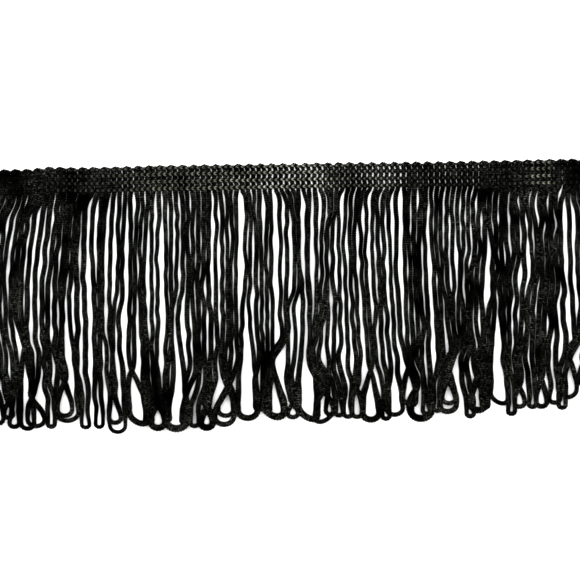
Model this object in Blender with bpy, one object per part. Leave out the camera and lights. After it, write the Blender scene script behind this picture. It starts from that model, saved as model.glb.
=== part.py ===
"""Looped chainette fringe: a cut length of warp-knit heading with its long loops.

Metres, +Z up. The fringe lies face up on a surface at z = 0. +X runs along the
heading, +Y points to the heading's scalloped edge, and the origin is under the
middle of the whole piece.
"""
import math

import bmesh
import bpy
import numpy as np

# Driving dimensions
LEG_PITCH = 0.00217          # one chainette leg to the next along the heading
LOOPS = 55                   # loops in the cut length
DROP = 0.104                 # scalloped edge to the end of the longest loop
HEADING_DEPTH = 0.010        # scalloped edge to the last chain row
HEADING_THICK = 0.0021
STRIP_DEPTH = 0.0017         # last chain row, which holds the loops' roots
STRIP_THICK = 0.0018
PIECE_GAP = 0.0003
BLACK = (0.012, 0.012, 0.011)
HEADING_MIDDLE = 0.0026      # the loops sway past the left end, so it lies off centre
SCALLOP_RISE = 0.0009
RIDGE_RISE = 0.0005
RIDGE_ROWS = 3

STRAND_WIDE = 0.00175
STRAND_HIGH = 0.0014
SIDE_CLEAR = 0.0002          # kept beside a strand where another passes it
OVER_CLEAR = 0.00025         # kept over a strand where another crosses it
ROOT_RISE = 0.00015          # underside of a root over the floor

LEG_STATIONS = 9
TURN_STATIONS = 5
SAMPLE_STEP = 0.0008         # spacing of the points where strands are tested

EDGE_Y = 0.5 * DROP          # crests of the scalloped edge
ROOT_Y = EDGE_Y - HEADING_DEPTH

# The chart was read off the laid fringe, x to the right and y down.
CHART_STEP = 0.00039         # real size of one chart step
CHART_ROLL = 0.0172          # slope of the heading across the chart
CHART_TOP = 162.6            # chart y of the scalloped edge at the pivot
CHART_PIVOT = 305.0
FIRST_GAP = 5.28             # chart x of the gap to the right of leg 0
FIRST_LEG = -3               # the chart's own number of the first leg

# How the whole fringe sways, in chart steps, at these depths under the heading
SWAY_DEPTHS = (0, 30, 60, 100, 140, 185, 240)
SWAY = (
    # chart x, sway at each depth
    (-20, (0, -3, -6, -9, -10, -11, -12)),
    (45, (0, -4, -9, -12, -14, -16, -17)),
    (85, (0, -2, -3, -4, -4, -4, -4)),
    (150, (0, 0, -1, -1, 0, 1, 1)),
    (290, (0, 0, 1, 1, 2, 4, 5)),
    (360, (0, 1, 1, 3, 6, 9, 10)),
    (430, (0, 0, 1, 2, 5, 8, 8)),
    (500, (0, 0, 1, 2, 4, 7, 5)),
    (600, (0, 0, 0, 2, 4, 2, -8)),
)

# Partings, where two neighbouring legs lie apart
PARTINGS = (
    # gap, from y, to y, x at mid height, width
    (2, 208, 246, 8.0, 2.2), (3, 222, 292, 10.3, 2.6), (4, 215, 300, 15.5, 1.4),
    (5, 262, 325, 18.0, 1.6), (6, 208, 280, 27.8, 2.6), (7, 210, 345, 31.5, 2.6),
    (8, 196, 274, 45.0, 1.9), (9, 199, 260, 50.8, 1.8), (10, 204, 268, 56.5, 1.0),
    (11, 235, 275, 60.5, 1.0), (12, 290, 392, 58.8, 2.3), (13, 262, 372, 65.7, 2.4),
    (14, 292, 400, 72.3, 2.8), (15, 214, 400, 79.8, 2.4), (16, 200, 262, 87.0, 2.2),
    (16, 284, 410, 92.0, 3.8), (17, 200, 290, 97.0, 1.8), (18, 200, 234, 103.0, 0.8),
    (18, 338, 405, 103.5, 2.3), (19, 205, 345, 106.5, 3.0), (20, 216, 342, 114.4, 4.4),
    (20, 348, 395, 117.5, 3.4), (21, 192, 214, 122.5, 0.8), (22, 212, 392, 126.0, 4.6),
    (23, 196, 250, 134.0, 1.7), (23, 296, 350, 131.2, 1.2), (24, 208, 330, 138.0, 2.2),
    (24, 330, 392, 138.6, 5.2), (26, 214, 345, 147.5, 3.2), (26, 345, 385, 150.3, 1.2),
    (27, 190, 275, 154.8, 2.0), (28, 196, 212, 163.2, 1.1), (28, 234, 340, 162.4, 5.0),
    (28, 340, 400, 161.6, 4.4), (29, 238, 262, 168.0, 1.5), (29, 345, 410, 170.0, 3.4),
    (30, 210, 372, 175.0, 3.2), (31, 198, 292, 179.3, 2.0), (32, 262, 298, 184.8, 1.5),
    (32, 318, 392, 187.0, 1.9), (33, 294, 385, 190.7, 2.0), (34, 190, 212, 196.5, 1.0),
    (34, 225, 242, 195.5, 1.4), (35, 212, 270, 201.3, 1.2), (35, 370, 410, 202.5, 3.0),
    (36, 216, 345, 206.5, 1.8), (37, 204, 306, 211.4, 3.2), (38, 208, 350, 219.4, 1.9),
    (39, 190, 262, 225.0, 0.9), (40, 214, 250, 229.6, 2.0), (40, 335, 385, 229.0, 1.6),
    (41, 345, 400, 235.3, 3.8), (42, 196, 300, 241.2, 6.4), (42, 300, 372, 240.8, 3.0),
    (43, 308, 400, 248.0, 4.2), (44, 228, 306, 253.6, 3.6), (44, 338, 392, 256.8, 3.2),
    (45, 188, 206, 256.8, 1.4), (45, 222, 262, 258.8, 1.6), (46, 190, 232, 263.8, 4.6),
    (46, 236, 290, 263.4, 2.6), (46, 338, 386, 265.0, 2.2), (47, 224, 268, 268.6, 1.8),
    (48, 188, 345, 276.2, 4.8), (48, 352, 372, 274.5, 1.8), (49, 190, 292, 283.2, 3.0),
    (49, 345, 392, 283.0, 2.6), (50, 186, 300, 290.6, 3.8), (51, 300, 350, 291.8, 3.0),
    (52, 196, 212, 296.2, 1.0), (52, 296, 325, 297.6, 2.6), (52, 370, 392, 293.6, 1.5),
    (53, 188, 272, 302.2, 3.8), (54, 296, 340, 306.4, 2.6), (54, 345, 400, 305.0, 5.0),
    (55, 212, 300, 313.0, 3.0), (56, 192, 226, 320.0, 5.0), (56, 232, 345, 319.4, 2.2),
    (57, 318, 360, 313.9, 1.5), (58, 335, 392, 323.8, 4.8), (58, 282, 312, 325.4, 1.4),
    (59, 250, 328, 330.4, 2.0), (60, 216, 285, 336.0, 2.6), (60, 312, 336, 335.8, 1.5),
    (61, 190, 322, 341.6, 1.9), (61, 350, 378, 341.4, 2.4), (62, 190, 222, 351.2, 2.8),
    (62, 230, 342, 348.0, 2.9), (64, 190, 384, 359.2, 3.2), (65, 206, 228, 363.0, 2.8),
    (62, 348, 392, 355.0, 2.6), (66, 188, 322, 369.2, 3.4), (67, 224, 300, 375.4, 1.9),
    (68, 190, 300, 380.0, 1.6), (69, 212, 335, 387.2, 2.4),
    (67, 316, 372, 378.4, 2.2), (70, 186, 264, 392.6, 3.0), (70, 268, 338, 395.0, 1.7),
    (71, 186, 335, 400.9, 3.8), (70, 345, 384, 399.6, 5.0), (73, 192, 220, 411.0, 2.2),
    (73, 228, 246, 411.0, 1.4), (72, 296, 356, 409.0, 1.9), (74, 192, 224, 417.6, 2.2),
    (73, 306, 342, 414.6, 1.4), (75, 248, 314, 423.4, 2.6), (74, 350, 400, 418.4, 2.6),
    (76, 206, 384, 430.4, 4.2), (75, 340, 376, 424.0, 1.6),
    (78, 216, 258, 437.0, 2.0), (79, 192, 236, 443.4, 1.3), (78, 294, 368, 445.6, 2.9),
    (80, 192, 315, 449.6, 2.0), (81, 230, 288, 455.8, 2.3), (80, 342, 398, 454.8, 2.4),
    (82, 210, 242, 459.8, 1.2), (82, 300, 336, 460.6, 1.6), (83, 272, 302, 463.6, 2.0),
    (84, 256, 288, 469.9, 2.2), (85, 312, 336, 473.0, 0.9), (86, 190, 228, 481.5, 1.5),
    (86, 262, 345, 478.6, 1.8), (87, 230, 284, 488.6, 3.4), (87, 312, 346, 485.8, 1.4),
    (88, 192, 236, 492.2, 2.4), (88, 258, 300, 496.2, 1.4), (89, 192, 258, 498.2, 2.0),
    (90, 242, 268, 505.2, 1.8), (90, 306, 378, 500.4, 2.3), (91, 192, 250, 508.2, 2.3),
    (92, 268, 305, 512.9, 2.1), (92, 350, 364, 509.6, 1.6), (93, 208, 232, 520.6, 1.7),
    (93, 192, 205, 517.0, 1.4), (94, 242, 280, 528.0, 3.4), (95, 188, 208, 529.0, 1.4),
    (96, 190, 218, 536.4, 2.6), (97, 196, 216, 541.6, 1.0), (98, 194, 208, 547.0, 1.8),
    (99, 216, 230, 556.4, 1.4), (99, 334, 384, 550.4, 1.8), (100, 298, 330, 557.2, 1.7),
    (100, 330, 358, 562.6, 3.4), (101, 200, 285, 565.2, 4.6), (101, 300, 352, 570.5, 3.4),
    (102, 204, 310, 574.0, 3.4), (103, 240, 290, 578.6, 1.8),
)

# Loop ends, one row for each loop from the left, in chart steps
LOOP_ENDS = (
    # x, y of the end, clear width and length of the eye, its fall to the right
    (-13, 420, 3, 18, 0), (-2, 425, 8, 34, 0), (9, 419, 4, 14, 0), (15, 428, 5, 24, 0),
    (30, 430, 13, 58, 0), (38, 427.5, 9, 27, 0), (51.5, 428, 2, 14, 0), (65.5, 417, 9, 32, 0),
    (68, 422, 17, 44, 0), (86, 428.5, 3.5, 30, 0), (99.5, 428, 3, 17, 0),
    (115.5, 424, 6.5, 26, 0), (118, 433, 11, 44, 0), (140, 425, 14, 46, 0.3),
    (149, 424.5, 3, 12, 0), (158.5, 430, 7, 22, 0), (167, 422, 2, 12, 0),
    (177, 431, 13, 34, 0), (186, 425, 4, 26, 0), (195, 427, 3, 14, 0), (207, 430, 5, 18, 0),
    (224.5, 426, 13, 34, 0), (226, 417, 10, 30, 0), (248, 420, 13, 54, 0),
    (259, 411, 3, 22, 0), (267, 413, 2, 16, 0), (275, 419, 11, 48, 0.25),
    (293, 418.5, 6, 12, 0), (309, 420, 10, 62, 0.5), (324, 422, 14, 28, -0.4),
    (331, 416, 5.5, 26, 0), (339, 416.5, 3, 14, 0), (348, 418, 3, 12, 0), (357, 418, 4, 28, 0),
    (371, 422, 9, 48, 0), (386, 420, 2, 28, 0), (394.5, 416, 12, 50, 0),
    (409.5, 406, 8, 36, 0.3), (421, 421, 13, 34, 0), (427, 415, 4, 22, 0),
    (437, 412, 3, 24, 0), (447.5, 413, 12, 30, 0), (449, 404.5, 9, 32, 0),
    (470, 417.5, 2, 12, 0), (478, 412.5, 7, 32, 0), (485, 409, 2, 12, 0),
    (499, 404, 12, 60, 0.4), (511, 415, 2, 12, 0), (519.5, 408, 5.5, 18, 0),
    (532, 408, 2, 12, 0), (541.5, 408, 5, 28, 0), (554.5, 404, 6, 14, 0),
    (562, 409, 2, 10, 0), (569, 398, 9, 38, -0.2), (583, 385, 5, 20, 0),
)

# Settling of the legs, in chart steps
LEVELS = np.arange(0.0, 241.0, 8.0)      # depths at which the legs are settled
NATURAL = LEG_PITCH / CHART_STEP         # leg pitch
WIDE = STRAND_WIDE / CHART_STEP
CLEAR = SIDE_CLEAR / CHART_STEP
READ_WIDTH = 4.4                         # a strand's width as it reads on the chart
FADE = 7.0                               # a parting opens over this length
ROOT_HOLD = 14.0                         # the roots keep their pitch down to this depth
NECK_REACH = 46.0                        # a leg starts for its loop's neck this far above
LEAST_EYE = 6.0                          # shortest way from a neck to its turn
LEG_COUNT = 2 * LOOPS
ROOTS = FIRST_GAP + NATURAL * (FIRST_LEG - 0.5 + np.arange(LEG_COUNT))

# How hard the legs are held to each wish while they settle
HOLD_SWAY = 0.12
HOLD_OWN_PITCH = 1.6
HOLD_NEXT_PITCH = 0.8
HOLD_PARTING_PLACE = 3.0
HOLD_PARTING_WIDTH = 4.0
CLOSE_PITCH = 0.93                       # share of the pitch that loose legs draw in to


def smooth(t):
    t = np.clip(t, 0.0, 1.0)
    return t * t * (3.0 - 2.0 * t)


def unroll(x, y):
    """Chart reading to steps along the heading and depth under its lower edge."""
    heading = HEADING_DEPTH / CHART_STEP
    depth = y + CHART_ROLL * (x - CHART_PIVOT) - CHART_TOP - heading
    return x - CHART_ROLL * (y - CHART_TOP), depth


def sway(x, depth):
    columns = [np.interp(depth, SWAY_DEPTHS, row[1]) for row in SWAY]
    return np.interp(x, [row[0] for row in SWAY], columns) - CHART_ROLL * depth


def wishes(depth):
    """Each wish at one depth: legs with their factors, the value and how hard it holds."""
    for leg, root in enumerate(ROOTS):
        yield ((leg, 1.0),), root + sway(root, depth), HOLD_SWAY
    for leg in range(LEG_COUNT - 1):
        hold = HOLD_NEXT_PITCH if leg % 2 else HOLD_OWN_PITCH
        yield ((leg, -1.0), (leg + 1, 1.0)), NATURAL * CLOSE_PITCH, hold
    for gap, top, bottom, x, width in PARTINGS:
        leg = gap - FIRST_LEG
        middle, mid_depth = unroll(x, 0.5 * (top + bottom))
        inside = 0.5 * (bottom - top) - abs(depth - mid_depth)
        share = smooth((inside + 0.5 * FADE) / FADE)
        if share > 0.01:
            centre = middle + sway(x, depth) - sway(x, mid_depth)
            yield ((leg, 0.5), (leg + 1, 0.5)), centre, HOLD_PARTING_PLACE * share
            pair = ((leg, -1.0), (leg + 1, 1.0))
            yield pair, READ_WIDTH + width, HOLD_PARTING_WIDTH * share


def settle(depth):
    """Where every leg lies at one depth, pushed aside by the partings there."""
    rows, values = [], []
    for terms, value, hold in wishes(depth):
        row = np.zeros(LEG_COUNT)
        for leg, factor in terms:
            row[leg] = factor * hold
        rows.append(row)
        values.append(value * hold)
    places = np.linalg.lstsq(np.array(rows), np.array(values), rcond=None)[0]
    pairs = places.reshape(LOOPS, 2)
    short = np.maximum(0.0, WIDE + CLEAR - (pairs[:, 1] - pairs[:, 0]))
    pairs[:, 0] -= 0.5 * short
    pairs[:, 1] += 0.5 * short
    free = smooth(depth / ROOT_HOLD)
    return pairs.ravel() * free + ROOTS * (1.0 - free)


def loop_plan(number, settled):
    """Plan of one loop, left root to right root, as (x, depth) chart steps."""
    end_x, end_y, eye, tall, fall = LOOP_ENDS[number]
    end_x, end = unroll(end_x, end_y)
    half = 0.5 * (eye + WIDE + CLEAR)
    closed = 0.5 * (WIDE + CLEAR)
    low = end - 0.5 * WIDE
    turn = low - half
    neck = min(turn - LEAST_EYE, end - WIDE - tall)

    def leg(side, depth):
        column = settled[:, 2 * number + (side > 0)]
        settled_x = np.interp(depth, LEVELS, column)
        along = min(1.0, max(0.0, (depth - neck) / (turn - neck)))
        bulge = math.sin(0.5 * math.pi * along)
        eye_x = end_x + side * (closed + (half - closed) * bulge)
        joined = smooth((depth - neck) / NECK_REACH + 1.0)
        x = float(settled_x * (1.0 - joined) + eye_x * joined)
        return x, depth + fall * (x - end_x) * along

    root = -0.5 * STRIP_DEPTH / CHART_STEP
    depths = np.linspace(0.0, turn, LEG_STATIONS)[1:]
    left = [(leg(-1, 0.0)[0], root)] + [leg(-1, depth) for depth in depths]
    right = [(leg(1, 0.0)[0], root)] + [leg(1, depth) for depth in depths]
    bend = []
    for step in range(1, TURN_STATIONS):
        angle = math.pi * step / TURN_STATIONS
        across = -half * math.cos(angle)
        bend.append((end_x + across, turn + fall * across + (low - turn) * math.sin(angle)))
    return left + bend + right[::-1]


def lay(plans):
    """Heights of the loops as they are laid, every second one first."""
    reach = STRAND_WIDE + SIDE_CLEAR
    rise = STRAND_HIGH + OVER_CLEAR
    floor = 0.5 * STRAND_HIGH
    laid = np.zeros((0, 3))
    heights = {}
    for number in list(range(0, LOOPS, 2)) + list(range(1, LOOPS, 2)):
        plan = plans[number]
        high = np.full(len(plan), floor)
        samples = []
        for part in range(len(plan) - 1):
            length = math.dist(plan[part], plan[part + 1])
            steps = max(2, math.ceil(length / SAMPLE_STEP))
            along = np.linspace(0.0, 1.0, steps + 1)[:, None]
            points = plan[part] * (1.0 - along) + plan[part + 1] * along
            need = floor
            if len(laid):
                apart = np.hypot(points[:, None, 0] - laid[None, :, 0],
                                 points[:, None, 1] - laid[None, :, 1])
                under = np.where(apart < reach, laid[None, :, 2], -1.0)
                if under.max() > 0.0:
                    need = under.max() + rise
            high[part] = max(high[part], need)
            high[part + 1] = max(high[part + 1], need)
            samples.append((along, points, part))
        high[0] = floor + ROOT_RISE
        high[-1] = floor + ROOT_RISE
        heights[number] = high
        for along, points, part in samples:
            level = high[part] * (1.0 - along[:, 0]) + high[part + 1] * along[:, 0]
            laid = np.vstack([laid, np.column_stack([points, level])])
    return heights


def material(name, colour, roughness):
    made = bpy.data.materials.new(name)
    made.use_nodes = True
    shader = made.node_tree.nodes["Principled BSDF"]
    shader.inputs["Base Color"].default_value = (*colour, 1.0)
    shader.inputs["Roughness"].default_value = roughness
    shader.inputs["Metallic"].default_value = 0.0
    return made


def add_object(name, mesh, collection):
    made = bpy.data.objects.new(name, mesh)
    collection.objects.link(made)
    return made


def loop_paths():
    settled = np.array([settle(depth) for depth in LEVELS])
    plans = []
    for number in range(LOOPS):
        steps = np.array(loop_plan(number, settled))
        x = (steps[:, 0] - ROOTS.mean()) * CHART_STEP + HEADING_MIDDLE
        y = ROOT_Y - steps[:, 1] * CHART_STEP
        plans.append(np.column_stack([x, y]))
    return plans, lay(plans)


def loops_mesh():
    """All the loops as square strands, swept along poly curves."""
    profile = bpy.data.curves.new("strand_section", "CURVE")
    profile.dimensions = "2D"
    outline = profile.splines.new("POLY")
    outline.points.add(3)
    wide, high = 0.5 * STRAND_WIDE, 0.5 * STRAND_HIGH
    corners = ((-wide, -high), (wide, -high), (wide, high), (-wide, high))
    for point, (across, up) in zip(outline.points, corners):
        point.co = (across, up, 0.0, 1.0)
    outline.use_cyclic_u = True
    section = bpy.data.objects.new("strand_section", profile)

    curve = bpy.data.curves.new("loops", "CURVE")
    curve.dimensions = "3D"
    curve.twist_mode = "Z_UP"
    curve.bevel_mode = "OBJECT"
    curve.bevel_object = section
    curve.use_fill_caps = True
    plans, heights = loop_paths()
    for number, plan in enumerate(plans):
        spline = curve.splines.new("POLY")
        spline.points.add(len(plan) - 1)
        for point, (x, y), z in zip(spline.points, plan, heights[number]):
            point.co = (x, y, z, 1.0)
    swept = bpy.data.objects.new("loops", curve)
    bpy.context.scene.collection.objects.link(swept)
    bpy.context.scene.collection.objects.link(section)
    bpy.context.view_layer.update()
    evaluated = swept.evaluated_get(bpy.context.evaluated_depsgraph_get())
    mesh = bpy.data.meshes.new_from_object(evaluated)
    bpy.data.objects.remove(swept)
    bpy.data.objects.remove(section)
    shape = bmesh.new()
    shape.from_mesh(mesh)
    bmesh.ops.remove_doubles(shape, verts=shape.verts, dist=0.00001)
    bmesh.ops.recalc_face_normals(shape, faces=shape.faces)
    shape.to_mesh(mesh)
    shape.free()
    return mesh


def box_mesh(name, low, high):
    shape = bmesh.new()
    bmesh.ops.create_cube(shape, size=1.0)
    for vert in shape.verts:
        for axis in range(3):
            vert.co[axis] = low[axis] if vert.co[axis] < 0.0 else high[axis]
    mesh = bpy.data.meshes.new(name)
    shape.to_mesh(mesh)
    shape.free()
    return mesh


def heading_mesh():
    """Knitted band: a scalloped upper edge, raised chain rows and a flat back."""
    lower = ROOT_Y + STRIP_DEPTH + PIECE_GAP
    across = 2 * RIDGE_ROWS
    shape = bmesh.new()
    bmesh.ops.create_grid(shape, x_segments=LEG_COUNT, y_segments=across, size=0.5)
    for vert in shape.verts:
        column = round((vert.co.x + 0.5) * LEG_COUNT)
        row = round((vert.co.y + 0.5) * across)
        peak = column % 2 == 1
        edge = EDGE_Y if peak else EDGE_Y - SCALLOP_RISE
        vert.co.x = HEADING_MIDDLE + (column - LOOPS) * LEG_PITCH
        vert.co.y = lower + (edge - lower) * row / across
        vert.co.z = HEADING_THICK - (0.0 if row % 2 else RIDGE_RISE)
    skin = bmesh.ops.extrude_face_region(shape, geom=shape.faces[:])
    back = [item for item in skin["geom"] if isinstance(item, bmesh.types.BMVert)]
    for vert in back:
        vert.co.z = 0.0
    flat = [face for face in shape.faces if all(vert.co.z == 0.0 for vert in face.verts)]
    bmesh.ops.dissolve_faces(shape, faces=flat)
    bmesh.ops.recalc_face_normals(shape, faces=shape.faces)
    mesh = bpy.data.meshes.new("heading")
    shape.to_mesh(mesh)
    shape.free()
    return mesh


def build():
    for item in list(bpy.data.objects):
        bpy.data.objects.remove(item)
    parts = bpy.data.collections.new("looped_chainette_fringe")
    guides = bpy.data.collections.new("cutters")
    bpy.context.scene.collection.children.link(parts)
    bpy.context.scene.collection.children.link(guides)
    heading = add_object("heading", heading_mesh(), parts)
    heading.data.materials.append(material("heading_yarn", BLACK, 0.62))

    half_length = LOOPS * LEG_PITCH
    low = (HEADING_MIDDLE - half_length, ROOT_Y, 0.0)
    high = (HEADING_MIDDLE + half_length, ROOT_Y + STRIP_DEPTH, STRIP_THICK)
    fringe = add_object("loop_fringe", box_mesh("loop_fringe", low, high), parts)
    fringe.data.materials.append(material("loop_yarn", BLACK, 0.58))
    loops = add_object("loops_joined", loops_mesh(), guides)
    loops.hide_render = True
    loops.display_type = "WIRE"
    union = fringe.modifiers.new("roots_fused", "BOOLEAN")
    union.operation = "UNION"
    union.solver = "EXACT"
    union.object = loops


build()
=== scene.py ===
"""Looped chainette fringe: knitted yarn loops under a chain-stitched heading.

Run as a script around the fringe's solids. It knits the yarn of every loop and the
chain rows of the heading, and sets the floor, lights and camera.
"""
import math

import bpy
import numpy as np
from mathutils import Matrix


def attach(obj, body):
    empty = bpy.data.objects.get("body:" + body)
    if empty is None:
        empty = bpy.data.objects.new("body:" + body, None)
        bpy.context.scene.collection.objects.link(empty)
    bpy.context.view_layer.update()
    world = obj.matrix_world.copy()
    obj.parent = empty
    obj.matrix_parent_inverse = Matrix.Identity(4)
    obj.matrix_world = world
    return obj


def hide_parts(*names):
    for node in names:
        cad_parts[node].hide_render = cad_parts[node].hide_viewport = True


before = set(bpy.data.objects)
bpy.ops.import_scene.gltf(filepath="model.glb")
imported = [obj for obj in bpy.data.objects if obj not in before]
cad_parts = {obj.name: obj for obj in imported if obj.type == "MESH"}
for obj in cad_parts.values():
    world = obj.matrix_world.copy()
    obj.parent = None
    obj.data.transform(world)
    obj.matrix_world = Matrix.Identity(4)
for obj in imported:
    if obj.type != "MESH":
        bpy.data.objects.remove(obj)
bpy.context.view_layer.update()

bl_info = {
    "name": "Looped Chainette Fringe",
    "version": (1, 0, 0),
    "blender": (4, 5, 0),
    "location": "View3D > Sidebar > Fringe",
    "description": "Knits a looped chainette fringe with its chain-stitched heading",
    "category": "Add Mesh",
}

# Sizes shared with the solids, in metres
LEG_PITCH = 0.00217
LOOPS = 55
LEG_COUNT = 2 * LOOPS
DROP = 0.104
HEADING_DEPTH = 0.010
HEADING_MIDDLE = 0.0026
EDGE_Y = 0.5 * DROP
ROOT_Y = EDGE_Y - HEADING_DEPTH

# The chart was read off the laid fringe, x to the right and y down.
CHART_SIZE = 580             # chart steps across the view
CHART_STEP = 0.00039         # real size of one chart step
CHART_ROLL = 0.0172          # slope of the heading across the chart
CHART_TOP = 162.6            # chart y of the scalloped edge at the pivot
CHART_PIVOT = 305.0          # chart x about which the heading is sloped
FIRST_GAP = 5.28             # chart x of the gap to the right of leg 0
FIRST_LEG = -3               # the chart's own number of the first leg

# How the whole fringe sways, in chart steps, at these depths under the heading
SWAY_DEPTHS = (0, 30, 60, 100, 140, 185, 240)
SWAY = (
    # chart x, sway at each depth
    (-20, (0, -3, -6, -8, -8, -7, -6)),
    (45, (0, -4, -9, -11, -10, -9, -8)),
    (85, (0, -2, -3, -4, -4, -4, -4)),
    (150, (0, 0, -1, -1, 0, 1, 1)),
    (290, (0, 0, 1, 1, 2, 4, 5)),
    (360, (0, 1, 1, 3, 6, 9, 10)),
    (430, (0, 0, 1, 2, 5, 8, 8)),
    (500, (0, 0, 1, 2, 4, 7, 5)),
    (600, (0, 0, 0, 2, 4, 2, -8)),
)

# Partings, where two neighbouring legs lie apart
PARTINGS = (
    # gap, from y, to y, x at mid height, width
    (2, 208, 246, 8.0, 2.2), (3, 222, 292, 10.3, 2.6), (4, 215, 300, 15.5, 1.4),
    (5, 262, 325, 18.0, 1.6), (6, 208, 280, 27.8, 2.6), (7, 210, 345, 31.5, 2.6),
    (8, 196, 274, 45.0, 1.9), (9, 199, 260, 50.8, 1.8), (10, 204, 268, 56.5, 1.0),
    (11, 235, 275, 60.5, 1.0), (11, 300, 392, 58.8, 2.3), (12, 290, 372, 65.7, 2.4),
    (13, 292, 400, 72.3, 2.8), (15, 214, 400, 79.8, 2.4), (16, 200, 262, 87.0, 2.2),
    (16, 284, 410, 92.0, 3.8), (17, 200, 290, 97.0, 1.8), (18, 200, 234, 103.0, 0.8),
    (18, 338, 405, 103.5, 2.3), (19, 205, 345, 106.5, 3.0), (20, 216, 342, 114.4, 4.4),
    (20, 348, 395, 117.5, 3.4), (21, 192, 214, 122.5, 0.8), (22, 212, 392, 126.0, 4.6),
    (23, 196, 250, 134.0, 1.7), (23, 296, 350, 131.2, 1.2), (24, 208, 330, 138.0, 2.2),
    (24, 330, 392, 138.6, 5.2), (26, 214, 345, 147.5, 3.2), (26, 345, 385, 150.3, 1.2),
    (27, 190, 275, 154.8, 2.0), (28, 196, 212, 163.2, 1.1), (28, 234, 340, 162.4, 5.0),
    (28, 340, 400, 161.6, 4.4), (29, 238, 262, 168.0, 1.5), (29, 345, 410, 170.0, 3.4),
    (30, 210, 372, 175.0, 3.2), (31, 198, 292, 179.3, 2.0), (32, 262, 298, 184.8, 1.5),
    (32, 318, 392, 187.0, 1.9), (33, 294, 385, 190.7, 2.0), (34, 190, 212, 196.5, 1.0),
    (34, 225, 242, 195.5, 1.4), (35, 212, 270, 201.3, 1.2), (35, 370, 410, 202.5, 3.0),
    (36, 216, 345, 206.5, 1.8), (37, 204, 306, 211.4, 3.2), (38, 208, 350, 219.4, 1.9),
    (39, 190, 262, 225.0, 0.9), (40, 214, 250, 229.6, 2.0), (40, 335, 385, 229.0, 1.6),
    (41, 345, 400, 235.3, 3.8), (42, 196, 300, 241.2, 6.4), (42, 300, 372, 240.8, 3.0),
    (43, 308, 400, 248.0, 4.2), (44, 228, 306, 253.6, 3.6), (44, 338, 392, 256.8, 3.2),
    (45, 188, 206, 256.8, 1.4), (45, 222, 262, 258.8, 1.6), (46, 190, 232, 263.8, 4.6),
    (46, 236, 290, 263.4, 2.6), (46, 338, 386, 265.0, 2.2), (47, 224, 268, 268.6, 1.8),
    (48, 188, 345, 276.2, 4.8), (48, 352, 372, 274.5, 1.8), (49, 190, 292, 283.2, 3.0),
    (49, 345, 392, 283.0, 2.6), (50, 186, 300, 290.6, 3.8), (51, 300, 350, 291.8, 3.0),
    (52, 196, 212, 296.2, 1.0), (52, 296, 325, 297.6, 2.6), (52, 370, 392, 293.6, 1.5),
    (53, 188, 272, 302.2, 3.8), (54, 296, 340, 306.4, 2.6), (54, 345, 400, 305.0, 5.0),
    (55, 212, 300, 313.0, 3.0), (56, 192, 226, 320.0, 5.0), (56, 232, 345, 319.4, 2.2),
    (57, 318, 360, 313.9, 1.5), (58, 335, 392, 323.8, 4.8), (58, 282, 312, 325.4, 1.4),
    (59, 250, 328, 330.4, 2.0), (60, 216, 285, 336.0, 2.6), (60, 312, 336, 335.8, 1.5),
    (61, 190, 322, 341.6, 1.9), (61, 350, 378, 341.4, 2.4), (62, 190, 222, 351.2, 2.8),
    (62, 230, 342, 348.0, 2.9), (64, 190, 384, 359.2, 3.2), (65, 206, 228, 363.0, 2.8),
    (62, 348, 392, 355.0, 2.6), (66, 188, 322, 369.2, 3.4), (67, 224, 300, 375.4, 1.9),
    (68, 190, 300, 380.0, 1.6), (69, 212, 335, 387.2, 2.4),
    (67, 316, 372, 378.4, 2.2), (70, 186, 264, 392.6, 3.0), (70, 268, 338, 395.0, 1.7),
    (71, 186, 335, 400.9, 3.8), (70, 345, 384, 399.6, 5.0), (73, 192, 220, 411.0, 2.2),
    (73, 228, 246, 411.0, 1.4), (72, 296, 356, 409.0, 1.9), (74, 192, 224, 417.6, 2.2),
    (73, 306, 342, 414.6, 1.4), (75, 248, 314, 423.4, 2.6), (74, 350, 400, 418.4, 2.6),
    (76, 206, 384, 430.4, 4.2), (75, 340, 376, 424.0, 1.6),
    (78, 216, 258, 437.0, 2.0), (79, 192, 236, 443.4, 1.3), (78, 294, 368, 445.6, 2.9),
    (80, 192, 315, 449.6, 2.0), (81, 230, 288, 455.8, 2.3), (82, 352, 402, 457.5, 3.0),
    (82, 210, 242, 459.8, 1.2), (82, 300, 336, 460.6, 1.6), (83, 272, 302, 463.6, 2.0),
    (84, 256, 288, 469.9, 2.2), (85, 312, 336, 473.0, 0.9), (86, 190, 228, 481.5, 1.5),
    (86, 262, 345, 478.6, 1.8), (87, 230, 284, 488.6, 3.4), (87, 312, 346, 485.8, 1.4),
    (88, 192, 236, 492.2, 2.4), (88, 258, 300, 496.2, 1.4), (89, 192, 258, 498.2, 2.0),
    (90, 242, 268, 505.2, 1.8), (90, 306, 378, 500.4, 2.3), (91, 192, 250, 508.2, 2.3),
    (92, 268, 305, 512.9, 2.1), (92, 350, 364, 509.6, 1.6), (93, 208, 232, 520.6, 1.7),
    (93, 192, 205, 517.0, 1.4), (94, 242, 280, 528.0, 3.4), (95, 188, 208, 529.0, 1.4),
    (96, 190, 218, 536.4, 2.6), (97, 196, 216, 541.6, 1.0), (98, 194, 208, 547.0, 1.8),
    (99, 216, 230, 556.4, 1.4), (99, 334, 384, 550.4, 1.8), (100, 298, 330, 557.2, 1.7),
    (100, 330, 358, 562.6, 3.4), (101, 200, 285, 565.2, 4.6), (101, 300, 352, 570.5, 3.4),
    (102, 204, 310, 574.0, 3.4), (103, 240, 290, 578.6, 1.8),
)

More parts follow.
